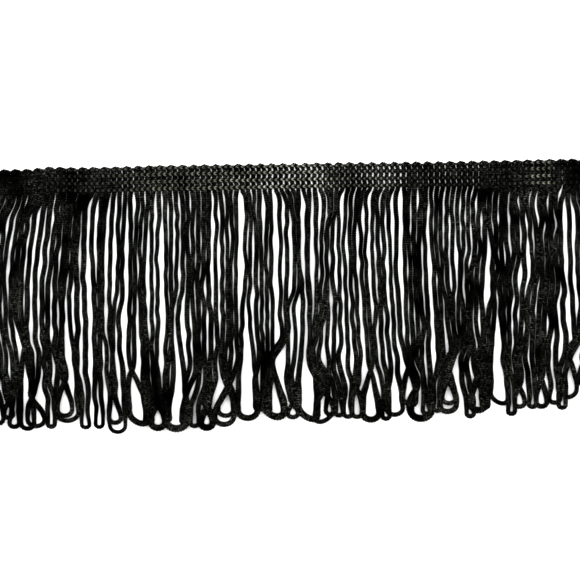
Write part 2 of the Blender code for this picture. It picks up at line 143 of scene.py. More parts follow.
# Loop ends, one for each loop from the left, in chart steps
LOOP_ENDS = (
    # x, y of the end, clear width and length of the eye, its fall to the right
    (-13, 420, 3, 18, 0), (-2, 425, 8, 34, 0), (9, 419, 4, 14, 0), (15, 428, 5, 24, 0),
    (28, 430, 8, 84, 0), (36.5, 427.5, 12, 27, 0), (51.5, 428, 2, 14, 0),
    (65.5, 417, 9, 32, 0), (68, 422, 17, 120, 0), (86, 428.5, 3.5, 30, 0),
    (99.5, 428, 3, 17, 0), (115.5, 424, 6.5, 26, 0), (118, 433, 11, 110, 0),
    (140, 425, 14, 51, 0.3), (149, 424.5, 3, 12, 0), (158.5, 430, 7, 22, 0),
    (167, 422, 2, 12, 0), (177, 431, 13, 110, 0), (186, 425, 4, 26, 0),
    (195, 427, 3, 14, 0), (207, 430, 5, 18, 0), (224.5, 426, 13, 34, 0),
    (226, 417, 10, 30, 0), (248, 420, 13, 110, 0), (259, 411, 3, 22, 0),
    (267, 413, 2, 16, 0), (275, 419, 11, 48, 0.25), (293, 418.5, 6, 12, 0),
    (308, 420, 12, 110, 0.5), (324, 422, 14, 28, -0.4), (331, 416, 5.5, 26, 0),
    (339, 416.5, 3, 14, 0), (348, 418, 3, 12, 0), (357, 418, 4, 28, 0),
    (371, 422, 9, 48, 0), (386, 420, 2, 28, 0), (394.5, 416, 12, 50, 0),
    (409.5, 406, 8, 36, 0.3), (421, 421, 13, 34, 0), (427, 415, 4, 22, 0),
    (437, 412, 3, 24, 0), (447.5, 413, 12, 30, 0), (449, 404.5, 9, 32, 0),
    (470, 417.5, 2, 12, 0), (478, 412.5, 7, 32, 0), (485, 409, 2, 12, 0),
    (499, 404, 12, 110, 0.4), (511, 415, 2, 12, 0), (519.5, 408, 5.5, 18, 0),
    (532, 408, 2, 12, 0), (541.5, 408, 5, 28, 0), (554.5, 404, 6, 14, 0),
    (562, 409, 2, 10, 0), (569, 398, 9, 38, -0.2), (583, 385, 5, 20, 0),
)

# How far the necks of the leaning loops lie to the right of their ends, in chart steps,
# by the number of the loop
NECK_LEANS = {3: 2.5, 4: -2.0, 5: -3.0, 11: -2.0, 13: -7.5, 21: 4.5, 22: 4.5, 26: -4.0}

# Thickness of the yarn in the bend of some loops against the others, by the same number
THICK_BENDS = {9: 0.85, 10: 0.82, 12: 0.85, 13: 1.35, 15: 1.45, 17: 1.6, 20: 1.5,
               21: 1.15, 23: 1.35, 26: 1.6, 28: 1.45, 34: 1.5, 38: 1.6, 41: 1.2,
               44: 1.5, 50: 1.1}

# How the heading changes along the chart
NET, GLINT, SPREAD, SAG = 1, 2, 3, 4
HEADING_RUN = (
    # chart x, net opening, painted glint on the thread, spread of the stitches, sag in chart
    # steps
    (-20, 0.0, 0.0, 0.9, 1.5), (30, 0.0, 0.0, 0.9, 1.5), (50, 0.0, 0.15, 0.9, -0.5),
    (75, 0.1, 0.4, 0.95, 0.7), (112, 0.15, 0.35, 0.95, 0.7), (120, 0.4, 0.35, 1.0, 0.5),
    (150, 0.25, 0.5, 1.15, 0.0), (225, 0.4, 0.75, 1.15, 0.0), (245, 0.45, 1.2, 1.0, 0.0),
    (262, 0.7, 1.6, 1.0, 0.0), (316, 0.75, 1.6, 1.0, 0.0), (328, 0.35, 1.0, 0.95, 0.2),
    (352, 0.35, 0.9, 0.95, 0.2), (362, 0.65, 0.8, 0.95, 0.3), (396, 0.75, 0.7, 0.95, 0.5),
    (402, 0.35, 0.4, 0.9, 0.6), (440, 0.35, 0.35, 0.9, 0.9), (478, 0.35, 0.3, 0.9, 0.9),
    (485, 0.1, 0.2, 0.9, 0.9), (522, 0.1, 0.3, 0.9, 0.8), (532, 0.1, 0.9, 1.05, 0.7),
    (548, 0.1, 0.9, 1.05, 0.6), (556, 0.1, 0.1, 0.9, 0.6), (600, 0.0, 0.1, 0.9, 0.6),
)

# Fullness of the yarn along the chart, for the loop whose first leg starts at that place
FULL_PLACES = (-20, 0, 25, 35, 60, 72, 80, 92, 105, 120, 150, 190, 215, 230, 275, 290,
               320, 340, 365, 380, 390, 430, 450, 470, 515, 535, 560)
FULL_LEGS = (0.95, 0.94, 1.02, 1.18, 1.2, 1.02, 1.08, 1.25, 1.0, 0.97, 0.95, 1.02, 1.0,
             0.93, 0.89, 0.98, 0.96, 0.93, 0.88, 0.94, 1.0, 1.0, 0.94, 1.04, 1.1, 1.2,
             1.12)

# Settling of the legs, in chart steps
LEVELS = np.arange(0.0, 241.0, 6.0)      # depths at which the legs are settled
NATURAL = LEG_PITCH / CHART_STEP         # even pitch of the legs
CLOSE_PITCH = 0.93                       # pitch they draw together to, against the even one
LEAST_PITCH = 4.8                        # least pitch of the two legs of a loop
READ_WIDTH = 4.8                         # width of a leg in the chart
PARTING_FADE = 6.0                       # way over which a parting opens and closes
ROOT_HOLD = 9.0                          # depth at which the legs are free of their roots
ROOTS = FIRST_GAP + NATURAL * (FIRST_LEG - 0.5 + np.arange(LEG_COUNT))

# How hard each wish holds while the legs settle
HOLD_SWAY = 0.12
HOLD_OWN_PITCH = 1.3
HOLD_NEXT_PITCH = 0.8
HOLD_PARTING_PLACE = 8.0
HOLD_PARTING_WIDTH = 6.0
LEAST_HOLD = 0.01            # a parting that holds less is left out

# Course of a leg from the heading into its loop's eye, in chart steps
LOOSE_FROM = 0.5             # depth at which a leg begins to leave its root
LOOSE_REACH = 6.0            # way over which it leaves
NECK_REACH = 34.0            # way over which a leg bends in to its neck
NECK_SHARE = 0.3             # how much the length of the eye takes off that way
LEAST_REACH = 28.0           # but it stays at least this long
NECK_SLIT = 1.5              # clear width of a neck that isn't crossed
LEAST_EYE = 6.0              # least length from the neck to the bend
EYE_EASE = 0.6               # added to the charted clear width
END_EASE = 0.8               # added to the charted end
TURN_SHARE = 0.8             # length of the bend against half its width
WAVER = 0.62                 # how far a leg wanders
WAVER_STEP = 8.0             # way from one wandering to the next
CROSSED_SHARE = 0.75         # share of the open loops whose legs cross in the neck
CROSSED_EYE = 3.8            # least clear width of an open loop
CROSSED_LENGTH = 90.0        # longest eye under a crossed neck
CROSSED_REACH = 7.0          # way from the middle of the crossing to its ends

# Points along a strand
SPACING = 0.001              # metres from one point to the next
LEAST_STEPS = 20             # points of a short leg
LEAST_ARC = 8                # points of a narrow bend
LEAST_WAVERS = 4             # random places of a short leg
CREST_POINTS = 6             # points of half a scallop
CREST_CLEAR = 0.3            # least way from the straight points to the scallop's, in points
COURSE_SOFT = 2              # points each way over which a leg's course is softened

# The yarn in the heading, in metres
CHAIN_ROWS = (0.0013, 0.0037, 0.00655, 0.0093)     # depth of each chain row under the edge
HEADING_YARN_Z = 0.00092     # height of the yarn's middle
LEAN = 0.00016               # how far the yarn leans to each side between the chain rows
CREST_SHARE = 0.8            # width of the yarn where it turns over in a scallop
CREST_GROWTH = 0.35          # how much wider it may be past the scallop
CREST_INSET = 0.0003         # how far the legs draw together under a scallop
INSET_FROM = 0.0022          # depth under the edge at which they begin to
INSET_REACH = 0.0009         # way over which they do
SAG_REACH = 0.02             # way under the roots over which the heading's sag fades
EVEN_NET = 0.5               # net opening at which the yarn is as wide as it is held
NICK = 0.05                  # unevenness of the yarn between the chain rows
NICK_POINTS = 3              # points from one unevenness to the next
CREST_FREE = 3.0             # points over which the scallop's narrowing ends
ROOT_BEFORE = 1.0            # points before the root at which the yarn begins to fill out
ROOT_FREE = 4.0              # points over which it fills out

# Fullness of the yarn along a loop, in metres
GATHERED_FROM = 0.003        # the gathered fullness holds this far under the root
GATHERED_REACH = 0.012       # and ends over this way
GATHERED_NET = 2.1           # how much the open net takes off it
DRAWN_PLACE = 0.036          # middle of the drawn stretch, under the root
DRAWN_REACH = 0.02           # way from there to its ends
SLACK_FROM = 0.0075          # the slack fullness holds this far from the bend
SLACK_REACH = 0.025          # and ends over this way
BEND_FROM = 0.0056           # a thicker bend holds this far from its middle
BEND_REACH = 0.014           # and ends over this way
UNEVEN_PLACES = 10           # random widths along a loop

# Turning of the flat yarn about its own length
ON_EDGE_FROM = 0.003         # the yarn stands on edge this far from the bend's middle
ON_EDGE_REACH = 0.010        # and lies down over this way
TURN_WANDER = 0.5            # how far it turns along the legs, in radians
TURN_PLACES = 8              # random turns along a loop
TURN_FREE = 10.0             # points over which it is held flat under the root

# Laying of the loops, counted in points
OWN_CLEAR = 9                # the second leg doesn't rest on this much of its own bend
HEIGHT_REACH = 4             # a height is carried this far along the strand
HEIGHT_FREE = 7.0            # a strand leaves the height of the heading over this way
TOUCH_SHARE = 0.9            # strands that overlap less than this lie side by side

# The knitted course: rings from one end of it to the other
COURSE_RINGS = 3
COURSE_SWELL = (0.86, 1.05, 0.99, 0.86)  # width of each ring
COURSE_LIGHT = (0.0, 1.0, 0.1, 0.0)      # how much light each ring catches
COURSE_V = 0.9               # lead of the V in courses, for one width to the side
GROOVE_DEPTH = 0.9           # thickness along the middle groove
GROOVE_LIGHT = 0.6           # light in the groove
GROOVE_WIDTH = 0.01          # half the width of the groove, in widths of the yarn
YARN_SIDES = 8               # points around the yarn
WELD = 0.00001               # metres under which two points are one
LOOPS_IN_PIECE = 14

# One chain stitch over a leg: along in leg pitches, across and up as shares
STITCH_RING = (
    (-0.14, 0.0, 0.9), (0.0, 0.32, 1.0), (0.22, 0.75, 0.95), (0.5, 1.0, 0.8),
    (0.78, 0.75, 0.66), (1.0, 0.25, 0.6), (1.08, 0.0, 0.55), (1.0, -0.25, 0.6),
    (0.78, -0.75, 0.66), (0.5, -1.0, 0.8), (0.22, -0.75, 0.95), (0.0, -0.32, 1.0),
)
STITCH_BAR = (
    (0.0, 0.0, 0.6), (0.14, 0.0, 0.3), (0.5, 0.0, 0.1), (0.86, 0.0, 0.3), (1.0, 0.0, 0.6),
)
STITCH_OVER = 0.35           # how far a stitch stands over the yarn, in threads
STITCH_SHIFT = 0.00006       # unevenness of the stitches along the row
STITCH_RAISE = 0.00008       # unevenness of the stitches across it
STITCH_UNEVEN = 0.07         # unevenness of their width
FIRST_ROW_SHARE = 0.75       # spread of the first chain row against the others

# Where a stitch is lit, along it in leg pitches and up as a share of its height
GLINT_RANGE = (0.55, 1.3)     # least and most of the painted glint from stitch to stitch
LONG_FROM, LONG_REACH = 0.9, 0.25        # spread at which a stitch begins to be long
LIT_PLACE, LIT_PLACE_LONG = 0.02, 0.15   # middle of the lit stretch, and more if long
LIT_HALF, LIT_HALF_LONG = 0.08, 0.12     # half its length, and more if long
LIT_REACH = 0.16             # way over which its light ends
LIT_UP, LIT_UP_REACH = 0.7, 0.25         # height at which it begins to be lit

# Shading of the yarn
NOISE_MEAN = 0.5
FIBRE_SCALE, PATCH_SCALE, TICK_SCALE = 2600.0, 90.0, 1100.0
TICK_LOW, TICK_HIGH = 0.43, 0.66       # noise from unlit to lit, for the ticks of painted highlight
GLINT_PATCH_MEAN = 0.6                  # mean of the patches that gate the painted highlight
FIBRE_LEAST, FIBRE_GAIN = 0.2, 1.1       # light without fibres, and what they add
FIBRE_DEEP = 0.01            # what the fibres catch between the stitches
FIBRE_ROUGH = 0.25           # how much they change the roughness
FIBRE_BUMP, FIBRE_BUMP_HEIGHT = 0.5, 0.00012

# Softboxes over the floor
SOFTBOXES = (
    # name, place, turn, size and power
    ("overhead", (0.1, 0.25, 1.6), (0.2, -0.1, 0.0), 1.2, 34.0),
    ("side", (-1.2, 0.5, 1.2), (0.0, -0.9, 0.0), 1.0, 14.0),
)
ROOM_LIGHT = 0.7             # strength of the light from all around
FLOOR_SIZE = 6.0

SEED = 20


def smooth(t):
    """Nothing below 0, one above 1 and an even curve between them."""
    t = np.clip(t, 0.0, 1.0)
    return t * t * (3.0 - 2.0 * t)


def rise(place, start, reach):
    """Nothing up to the start, then growing to one over the reach."""
    return smooth((place - start) / reach)


def fade(place, start, reach):
    """One up to the start, then shrinking to nothing over the reach."""
    return smooth(1.0 - (place - start) / reach)


def unroll(x, y):
    """Chart reading to steps along the heading and depth under its lower edge."""
    heading = HEADING_DEPTH / CHART_STEP
    depth = y + CHART_ROLL * (x - CHART_PIVOT) - CHART_TOP - heading
    return x - CHART_ROLL * (y - CHART_TOP), depth


def to_metres(x, depth):
    """Steps along the heading and depth to the real x and y."""
    across = (x - ROOTS.mean()) * CHART_STEP + HEADING_MIDDLE
    return across, ROOT_Y - depth * CHART_STEP


def heading_run(across, column):
    """A column of HEADING_RUN at places along the heading in metres."""
    chart = (across - HEADING_MIDDLE) / CHART_STEP + ROOTS.mean()
    places = [row[0] for row in HEADING_RUN]
    return np.interp(chart, places, [row[column] for row in HEADING_RUN])


def sway(x, depth):
    """How far a leg that hangs at x lies to the side at one depth."""
    columns = [np.interp(depth, SWAY_DEPTHS, row[1]) for row in SWAY]
    return np.interp(x, [row[0] for row in SWAY], columns) - CHART_ROLL * depth


def wishes(depth):
    """Each wish at one depth: legs with their factors, the value and how hard it holds."""
    for leg, root in enumerate(ROOTS):
        yield ((leg, 1.0),), root + sway(root, depth), HOLD_SWAY
    for leg in range(LEG_COUNT - 1):
        hold = HOLD_NEXT_PITCH if leg % 2 else HOLD_OWN_PITCH
        yield ((leg, -1.0), (leg + 1, 1.0)), NATURAL * CLOSE_PITCH, hold
    for gap, top, bottom, x, width in PARTINGS:
        leg = gap - FIRST_LEG
        middle, mid_depth = unroll(x, 0.5 * (top + bottom))
        inside = 0.5 * (bottom - top) - abs(depth - mid_depth)
        share = rise(inside, -0.5 * PARTING_FADE, PARTING_FADE)
        if share > LEAST_HOLD:
            centre = middle + sway(x, depth) - sway(x, mid_depth)
            yield ((leg, 0.5), (leg + 1, 0.5)), centre, HOLD_PARTING_PLACE * share
            pair = ((leg, -1.0), (leg + 1, 1.0))
            yield pair, READ_WIDTH + width, HOLD_PARTING_WIDTH * share


def settle(depth):
    """Where every leg lies at one depth, pushed aside by the partings there."""
    rows, values = [], []
    for terms, value, hold in wishes(depth):
        row = np.zeros(LEG_COUNT)
        for leg, factor in terms:
            row[leg] = factor * hold
        rows.append(row)
        values.append(value * hold)
    places = np.linalg.lstsq(np.array(rows), np.array(values), rcond=None)[0]
    pairs = places.reshape(LOOPS, 2)
    short = np.maximum(0.0, LEAST_PITCH - (pairs[:, 1] - pairs[:, 0]))
    pairs[:, 0] -= 0.5 * short
    pairs[:, 1] += 0.5 * short
    free = rise(depth, 0.0, ROOT_HOLD)
    return pairs.ravel() * free + ROOTS * (1.0 - free)


def soften(values, reach):
    """Running mean along a strand over this many points each way."""
    kernel = np.hanning(2 * reach + 3)[1:-1]
    padded = np.pad(values, reach, mode="edge")
    return np.convolve(padded, kernel / kernel.sum(), mode="valid")


def spread_along(values, count):
    """Values at even places of a strand, filled in at each of its points."""
    places = np.linspace(0.0, len(values) - 1.0, count)
    return np.interp(places, np.arange(len(values)), values)


def points_from_root(count, held):
    """Points along the yarn from a loop's nearer root, less than nothing in the heading."""
    index = np.arange(count)
    return np.minimum(index, index[::-1]) - held


def way_from_bend(count):
    """Metres along the yarn from the middle of a loop's bend."""
    return np.abs(np.arange(count) - 0.5 * count) * SPACING


def waver(count, random):
    """Small wandering of a leg, still at both ends."""
    places = max(LEAST_WAVERS, int(count * SPACING / CHART_STEP / WAVER_STEP))
    values = random.normal(0.0, WAVER, places)
    values[[0, -1]] = 0.0
    return soften(spread_along(values, count), COURSE_SOFT)


def leg_course(number, side, settled, eye, depths, crossed):
    """Place of one leg at the given depths, from the heading into its loop's eye."""
    end_x, neck, turn, half, lean = eye
    leg = 2 * number + (side > 0)
    reach = max(LEAST_REACH, NECK_REACH - NECK_SHARE * (turn - neck))
    free = np.interp(depths, LEVELS, soften(settled[:, leg], 1))
    along = np.clip((depths - neck) / (turn - neck), 0.0, 1.0)
    opening = half * np.sin(0.5 * math.pi * along)
    if crossed:
        over = rise(depths, neck - CROSSED_REACH, 2.0 * CROSSED_REACH)
        spread = 0.5 * LEAST_PITCH * (1.0 - over) - opening * over
    else:
        spread = np.maximum(opening, 0.5 * (LEAST_PITCH + NECK_SLIT))
    middle = end_x + lean * (1.0 - smooth(along))
    joined = rise(depths, neck - reach, reach)
    x = free * (1.0 - joined) + (middle + side * spread) * joined
    loose = rise(depths, LOOSE_FROM, LOOSE_REACH)
    return soften(x, COURSE_SOFT) * loose + ROOTS[leg] * (1.0 - loose)


def hanging_course(number, settled, thick, random):
    """Plan of one loop in metres, from root to root."""
    end_x, end_y, eye, tall, fall = LOOP_ENDS[number]
    end_x, end = unroll(end_x, end_y)
    on_edge = thick / CHART_STEP * THICK_BENDS.get(number, 1.0)
    half = 0.5 * (eye + on_edge + EYE_EASE)
    low = end + END_EASE - 0.5 * on_edge
    turn = low - TURN_SHARE * half
    neck = min(turn - LEAST_EYE, end - on_edge - tall)
    crossed = (eye > CROSSED_EYE and random.random() < CROSSED_SHARE
               and tall < CROSSED_LENGTH)
    steps = max(LEAST_STEPS, int(turn * CHART_STEP / SPACING))
    depths = np.linspace(0.0, turn, steps)
    place = (end_x, neck, turn, half, NECK_LEANS.get(number, 0.0))
    along = np.clip((depths - neck) / (turn - neck), 0.0, 1.0)
    legs = []
    for side in (-1, 1):
        x = leg_course(number, side, settled, place, depths, crossed)
        fallen = depths + fall * (x - end_x) * along
        legs.append(np.column_stack([x + waver(steps, random), fallen]))
    arc = int(math.pi * half * CHART_STEP / SPACING)
    angles = np.linspace(0.0, math.pi, max(LEAST_ARC, arc))[1:-1]
    hand = -1.0 if crossed else 1.0
    across = -hand * half * np.cos(angles)
    drop = turn + fall * across + (low - turn) * np.sin(angles)
    bend = np.column_stack([end_x + across, drop])
    course = np.vstack([legs[0], bend, legs[1][::-1]])
    return np.column_stack(to_metres(course[:, 0], course[:, 1]))


def loop_plan(number, settled, sizes, random):
    """Plan of one loop in metres, from crest to crest, and the count of points held."""
    hanging = hanging_course(number, settled, sizes.thick, random)
    up = crest_course(sizes.flat * CREST_SHARE)
    up_left = np.column_stack([hanging[0, 0] - up[:, 0], up[:, 1]])
    up_right = np.column_stack([hanging[-1, 0] + up[:, 0], up[:, 1]])
    whole = np.vstack([up_left[::-1], hanging, up_right])
    whole[:, 0] += zigzag(whole[:, 1])
    sag = heading_run(whole[:, 0], SAG) * CHART_STEP
    whole[:, 1] -= sag * fade(ROOT_Y - whole[:, 1], 0.0, SAG_REACH)
    return whole, len(up)


def crest_course(yarn):
    """The way up through the heading to the middle of a scallop, from one leg."""
    radius = 0.5 * LEG_PITCH - CREST_INSET
    crest = EDGE_Y - 0.5 * yarn
    angles = np.linspace(0.0, 0.5 * math.pi, CREST_POINTS)
    arc = np.column_stack([CREST_INSET + radius * (1.0 - np.cos(angles)),
                           crest - radius + radius * np.sin(angles)])
    up = np.arange(ROOT_Y + SPACING, crest - radius - CREST_CLEAR * SPACING, 0.5 * SPACING)
    drawn_in = CREST_INSET * rise(up, EDGE_Y - INSET_FROM, INSET_REACH)
    return np.vstack([np.column_stack([drawn_in, up]), arc])


def zigzag(y):
    """Sideways lean of the yarn from one chain row to the next."""
    rows = [EDGE_Y - depth for depth in CHAIN_ROWS[::-1]]
    sides = [LEAN * (-1.0) ** number for number in range(len(rows))]
    return np.interp(y, [ROOT_Y - SPACING] + rows + [EDGE_Y], [0.0] + sides + [0.0])


def turned(count, held, random):
    """How far the flat yarn is turned over: lying in the legs, on edge in the bend."""
    wander = spread_along(random.normal(0.0, TURN_WANDER, TURN_PLACES), count)
    bend = fade(way_from_bend(count), ON_EDGE_FROM, ON_EDGE_REACH)
    hand = random.choice((-1.0, 1.0))
    turn = wander * (1.0 - bend) + hand * 0.5 * math.pi * bend
    return turn * rise(points_from_root(count, held), 0.0, TURN_FREE)


def lay_loops(plans, turns, sizes):
    """Heights of the loops as they are laid, every second one first."""
    heights = {}
    laid = np.zeros((0, 5))
    for number in (*range(0, LOOPS, 2), *range(1, LOOPS, 2)):
        plan, held = plans[number]
        level = np.cos(turns[number]) ** 2
        wide = 0.5 * np.sqrt(sizes.flat ** 2 * level + sizes.thick ** 2 * (1.0 - level))
        tall = 0.5 * np.sqrt(sizes.thick ** 2 * level + sizes.flat ** 2 * (1.0 - level))
        count = len(plan)
        half = count // 2
        first, second = slice(0, half), slice(half, count)
        near = ((laid[:, 0] > plan[:, 0].min() - sizes.flat)
                & (laid[:, 0] < plan[:, 0].max() + sizes.flat))
        below = laid[near]
        high = tall.copy()
        high[first] = rest_on(plan[first], wide[first], tall[first], below)
        own = np.column_stack([plan, high, wide, tall])[held:half - OWN_CLEAR]
        below = np.vstack([below, own])
        high[second] = rest_on(plan[second], wide[second], tall[second], below)
        padded = np.pad(high, HEIGHT_REACH, mode="edge")
        high = np.max([padded[k:k + count] for k in range(2 * HEIGHT_REACH + 1)], axis=0)
        free = rise(points_from_root(count, held), 0.0, HEIGHT_FREE)
        high = soften(high, HEIGHT_REACH) * free + HEADING_YARN_Z * (1.0 - free)
        heights[number] = high
        lying = np.column_stack([plan, high, wide, tall])[half:-held]
        laid = np.vstack([laid, own, lying])
    return heights


def rest_on(plan, wide, tall, below):
    """Heights of one stretch of yarn, lifted to clear the yarn already below it."""
    apart = np.hypot(plan[:, None, 0] - below[None, :, 0],
                     plan[:, None, 1] - below[None, :, 1])
    reach = wide[:, None] + below[None, :, 3]
    room = np.sqrt(np.maximum(0.0, 1.0 - (apart / reach) ** 2))
    over = below[None, :, 2] + (tall[:, None] + below[None, :, 4]) * room
    over = np.where(apart < TOUCH_SHARE * reach, over, 0.0)
    return np.maximum(tall, over.max(axis=1, initial=0.0))


def in_bend(count, share):
    """A share that holds in the bend of a loop and fades to one along its legs."""
    return 1.0 + (share - 1.0) * fade(way_from_bend(count), BEND_FROM, BEND_REACH)


def fullness(count, open_net, sizes, random):
    """Thick and thin places of one loop's yarn: fuller at the slack bend and where the legs
    are gathered, finer where they are drawn straight."""
    wander = spread_along(random.normal(1.0, sizes.uneven, UNEVEN_PLACES), count)
    from_bend = way_from_bend(count)
    from_root = 0.5 * count * SPACING - HEADING_DEPTH - from_bend
    gathered = fade(from_root, GATHERED_FROM, GATHERED_REACH) * (1.0 - GATHERED_NET * open_net)
    slack = sizes.slack * (fade(from_bend, SLACK_FROM, SLACK_REACH) + gathered)
    drawn = sizes.drawn * fade(np.abs(from_root - DRAWN_PLACE), 0.0, DRAWN_REACH)
    return wander * (1.0 + slack - drawn)


def strand_widths(number, plan, held, sizes, net, random):
    """Width of one loop's yarn at each point, held tight in the heading."""
    count = len(plan)
    from_root = points_from_root(count, held)
    open_net = heading_run(plan[held, 0], NET)
    nicks = random.normal(0.0, NICK, count // NICK_POINTS + 1)
    tight = sizes.held + net * (EVEN_NET - open_net) + np.repeat(nicks, NICK_POINTS)[:count]
    full = fullness(count, open_net, sizes, random)
    full = full * np.interp(ROOTS[2 * number], FULL_PLACES, FULL_LEGS)
    widths = tight + (full - tight) * rise(from_root, -ROOT_BEFORE, ROOT_FREE)
    return np.minimum(widths, CREST_SHARE + CREST_GROWTH * rise(from_root, -held, CREST_FREE))


def deselect():
    bpy.ops.object.select_all(action="DESELECT")


def make_active(piece):
    deselect()
    piece.select_set(True)
    bpy.context.view_layer.objects.active = piece


def apply_modifiers(piece):
    make_active(piece)
    for modifier in list(piece.modifiers):
        bpy.ops.object.modifier_apply(modifier=modifier.name)


def take_place(piece):
    """Put the object's place into its mesh."""
    make_active(piece)
    bpy.ops.object.transform_apply(location=True, rotation=True, scale=True)


def repeat(piece, pitch, count):
    """Array modifier that repeats the piece along x."""
    rows = piece.modifiers.new("rows", "ARRAY")
    rows.use_relative_offset = False
    rows.use_constant_offset = True
    rows.constant_offset_displace = (pitch, 0.0, 0.0)
    rows.count = count
    return rows


def read_points(mesh):
    points = np.empty(3 * len(mesh.vertices))
    mesh.vertices.foreach_get("co", points)
    return points.reshape(-1, 3)


def join(pieces, name):
    deselect()
    for piece in pieces:
        piece.select_set(True)
    bpy.context.view_layer.objects.active = pieces[0]
    bpy.ops.object.join()
    pieces[0].name = name
    pieces[0].data.name = name
    return pieces[0]


def dress(piece, material):
    piece.data.materials.clear()
    piece.data.materials.append(material)
    piece.data.shade_smooth()


def guide_curve(points, radii, tilts):
    """A poly curve through the points, which the yarn is knitted along."""
    curve = bpy.data.curves.new("guide", "CURVE")
    curve.dimensions = "3D"
    curve.twist_mode = "Z_UP"
    spline = curve.splines.new("POLY")
    spline.points.add(len(points) - 1)
    homogeneous = np.column_stack([points, np.ones(len(points))])
    spline.points.foreach_set("co", homogeneous.ravel())
    spline.points.foreach_set("radius", radii)
    spline.points.foreach_set("tilt", tilts)
    guide = bpy.data.objects.new("guide", curve)
    bpy.context.collection.objects.link(guide)
    return guide


def knit_unit(pitch, flat, thick):
    """One course of the knitted tube: rings bent into the V of its stitches."""
    deselect()
    bpy.ops.mesh.primitive_cylinder_add(
        vertices=YARN_SIDES, radius=0.5, depth=pitch, end_fill_type="NOTHING",
        rotation=(0.0, 0.5 * math.pi, 0.0))
    unit = bpy.context.active_object
    take_place(unit)
    ring_pitch = pitch / COURSE_RINGS
    bpy.ops.object.mode_set(mode="EDIT")
    for cut in (-0.5 * ring_pitch, 0.5 * ring_pitch):
        bpy.ops.mesh.select_all(action="SELECT")
        bpy.ops.mesh.bisect(plane_co=(cut, 0.0, 0.0), plane_no=(1.0, 0.0, 0.0))
    bpy.ops.object.mode_set(mode="OBJECT")
    # The "crest" attribute is painted highlight: the crest ring of each course is painted
    # lighter, the other rings and the middle groove less.
    crest = unit.data.attributes.new("crest", "FLOAT", "POINT")
    for vert, value in zip(unit.data.vertices, crest.data):
        x, y, z = vert.co
        along = x + 0.5 * pitch
        ring = round(along / ring_pitch)
        swell = COURSE_SWELL[ring]
        groove = abs(y) < GROOVE_WIDTH
        depth = GROOVE_DEPTH if groove else 1.0
        ahead = COURSE_V * pitch * abs(y)
        vert.co = (along + ahead, y * swell * flat, z * swell * depth * thick)
        value.value = COURSE_LIGHT[ring] * (GROOVE_LIGHT if groove else 1.0)
    return unit


def knit_along(unit, guide, length, pitch, flat):
    """Copy the course along the guide, square off both ends and bend the row to it."""
    piece = unit.copy()
    piece.data = unit.data.copy()
    bpy.context.collection.objects.link(piece)
    count = max(2, round(length / pitch))
    rows = repeat(piece, pitch, count)
    rows.use_merge_vertices = True
    rows.merge_threshold = WELD
    apply_modifiers(piece)
    points = read_points(piece.data)
    ahead = COURSE_V * pitch * abs(points[:, 1]) / (COURSE_SWELL[0] * flat)
    ring = points[:, 0] - ahead
    points[abs(ring) < WELD, 0] = 0.0
    points[abs(ring - count * pitch) < WELD, 0] = count * pitch
    points[:, 0] *= length / (count * pitch)
    piece.data.vertices.foreach_set("co", points.ravel())
    bend = piece.modifiers.new("laid", "CURVE")
    bend.object = guide
    bend.deform_axis = "POS_X"
    apply_modifiers(piece)
    return piece


def close_ends(piece):
    make_active(piece)
    bpy.ops.object.mode_set(mode="EDIT")
    bpy.ops.mesh.select_all(action="SELECT")
    bpy.ops.mesh.fill_holes(sides=0)
    bpy.ops.mesh.select_all(action="SELECT")
    bpy.ops.mesh.normals_make_consistent(inside=False)
    bpy.ops.object.mode_set(mode="OBJECT")


class Term:
    """A shader value that can be used in a Python expression."""

    def __init__(self, socket):
        self.socket = socket
        self.tree = socket.id_data

    def math(self, operation, left, right):
        node = self.tree.nodes.new("ShaderNodeMath")
        node.operation = operation
        for slot, value in zip(node.inputs, (left, right)):
            if isinstance(value, Term):
                self.tree.links.new(value.socket, slot)
            else:
                slot.default_value = value
        return Term(node.outputs[0])

    def __add__(self, other):
        return self.math("ADD", self, other)

    def __radd__(self, other):
        return self.math("ADD", other, self)

    def __sub__(self, other):
        return self.math("SUBTRACT", self, other)

    def __mul__(self, other):
        return self.math("MULTIPLY", self, other)

    def __rmul__(self, other):
        return self.math("MULTIPLY", other, self)


class Finish:
    """A material with its shader, and one method that adds any other node."""

    def __init__(self, name):
        self.material = bpy.data.materials.new(name)
        self.material.use_nodes = True
        self.tree = self.material.node_tree
        self.shader = self.tree.nodes["Principled BSDF"]

    def node(self, kind, settings, inputs, output=0):
        node = self.tree.nodes.new(kind)
        for key, value in settings.items():
            setattr(node, key, value)
        for key, value in inputs.items():
            if isinstance(value, Term):
                self.tree.links.new(value.socket, node.inputs[key])
            else:
                node.inputs[key].default_value = value
        return Term(node.outputs[output])

    def set(self, **values):
        for key, value in values.items():
            self.shader.inputs[key.replace("_", " ")].default_value = value

    def feed(self, key, term):
        self.tree.links.new(term.socket, self.shader.inputs[key])


